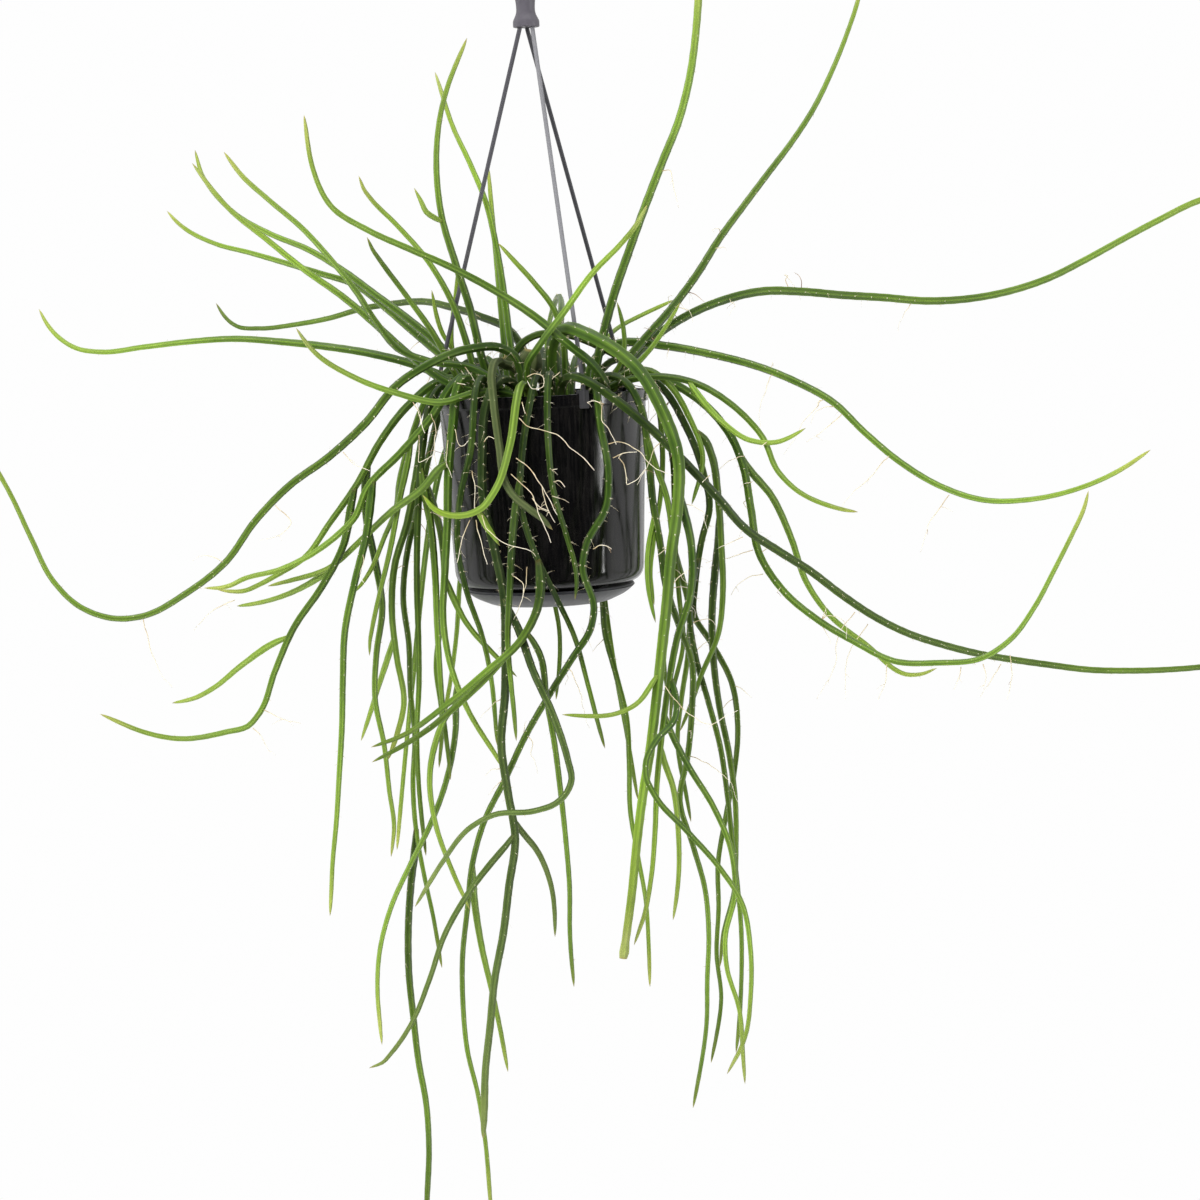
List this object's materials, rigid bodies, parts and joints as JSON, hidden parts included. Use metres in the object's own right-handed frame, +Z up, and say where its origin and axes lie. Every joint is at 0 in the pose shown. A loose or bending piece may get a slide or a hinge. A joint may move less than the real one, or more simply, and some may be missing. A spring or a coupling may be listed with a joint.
{
  "type": "potted trailing cactus in a hanging pot",
  "caption": "Trailing epiphytic cactus with slender ribbed stems that arch and hang from a round plastic pot with a saucer that snaps on, strand hanger and hook.",
  "frame": {"origin": "bearing point inside the top of the hook, on the pot's axis", "axes": "+Z up along the pot's axis, +X right and -Y towards the viewer in the front view"},
  "size_m": [0.7314, 0.3599, 0.7495],
  "materials": {
    "hanger_cap_plastic": "satin moulded plastic",
    "hanger_dark_plastic": "satin moulded plastic",
    "hanger_light_plastic": "satin moulded plastic, pale",
    "pot_plastic": "glossy black moulded plastic",
    "saucer_plastic": "satin grey-black moulded plastic",
    "soil": "damp dark peat mix with fine roots",
    "stem_old_green": "firm waxy skin, dark green",
    "stem_mid_green": "firm waxy skin, mid green",
    "stem_fresh_green": "smooth waxy skin, light green",
    "stem_yellow_green": "smooth waxy skin, yellow green",
    "stem_grey_green": "dull waxy skin, grey green",
    "stem_woody": "dry corky bark, grey tan"
  },
  "bodies": {
    "root": {"hanger_hook": "hanger_cap_plastic", "hanger_strand_left": "hanger_dark_plastic", "hanger_strand_back": "hanger_dark_plastic", "hanger_strand_front": "hanger_light_plastic", "pot": "pot_plastic", "saucer": "saucer_plastic", "soil": "soil", "stem_upper_left_01": "stem_mid_green", "stem_upper_left_02": "stem_fresh_green", "stem_upper_left_03": "stem_mid_green", "stem_upper_left_04": "stem_mid_green", "stem_upper_left_05": "stem_mid_green", "stem_upper_left_06": "stem_mid_green", "stem_upper_left_07": "stem_old_green", "stem_upper_left_08": "stem_mid_green", "stem_upper_left_09": "stem_fresh_green", "stem_upper_left_10": "stem_mid_green", "stem_upper_left_11": "stem_mid_green", "stem_upper_left_12": "stem_old_green", "stem_upper_left_13": "stem_mid_green", "stem_upper_left_14": "stem_fresh_green", "stem_upper_left_15": "stem_fresh_green", "stem_upper_right_01": "stem_fresh_green", "stem_upper_right_02": "stem_mid_green", "stem_upper_right_03": "stem_mid_green", "stem_upper_right_04": "stem_mid_green", "stem_upper_right_05": "stem_mid_green", "stem_upper_right_06": "stem_yellow_green", "stem_upper_right_07": "stem_old_green", "stem_upper_right_08": "stem_mid_green", "stem_upper_right_09": "stem_mid_green", "stem_upper_right_10": "stem_old_green", "stem_long_right_01": "stem_mid_green", "stem_long_right_02": "stem_old_green", "stem_stout_cut": "stem_fresh_green", "stem_hanging_right_01": "stem_old_green", "stem_hanging_right_02": "stem_old_green", "stem_hanging_right_03": "stem_old_green", "stem_hanging_right_04": "stem_old_green", "stem_hanging_back_01": "stem_mid_green", "stem_long_left_01": "stem_mid_green", "stem_hanging_left_01": "stem_mid_green", "stem_hanging_left_02": "stem_mid_green", "stem_hanging_left_03": "stem_mid_green", "stem_hanging_left_04": "stem_mid_green", "stem_hanging_left_05": "stem_old_green", "stem_hanging_left_06": "stem_old_green", "stem_hanging_left_07": "stem_mid_green", "stem_front_01": "stem_yellow_green", "stem_front_02": "stem_old_green", "stem_front_03": "stem_mid_green", "stem_front_04": "stem_grey_green", "stem_front_05": "stem_old_green", "stem_front_06": "stem_old_green", "stem_back_01": "stem_old_green", "stem_back_02": "stem_mid_green", "stem_back_03": "stem_mid_green", "stem_back_04": "stem_old_green", "stem_back_05": "stem_mid_green", "stem_woody_base": "stem_woody"}
  },
  "joints": []
}
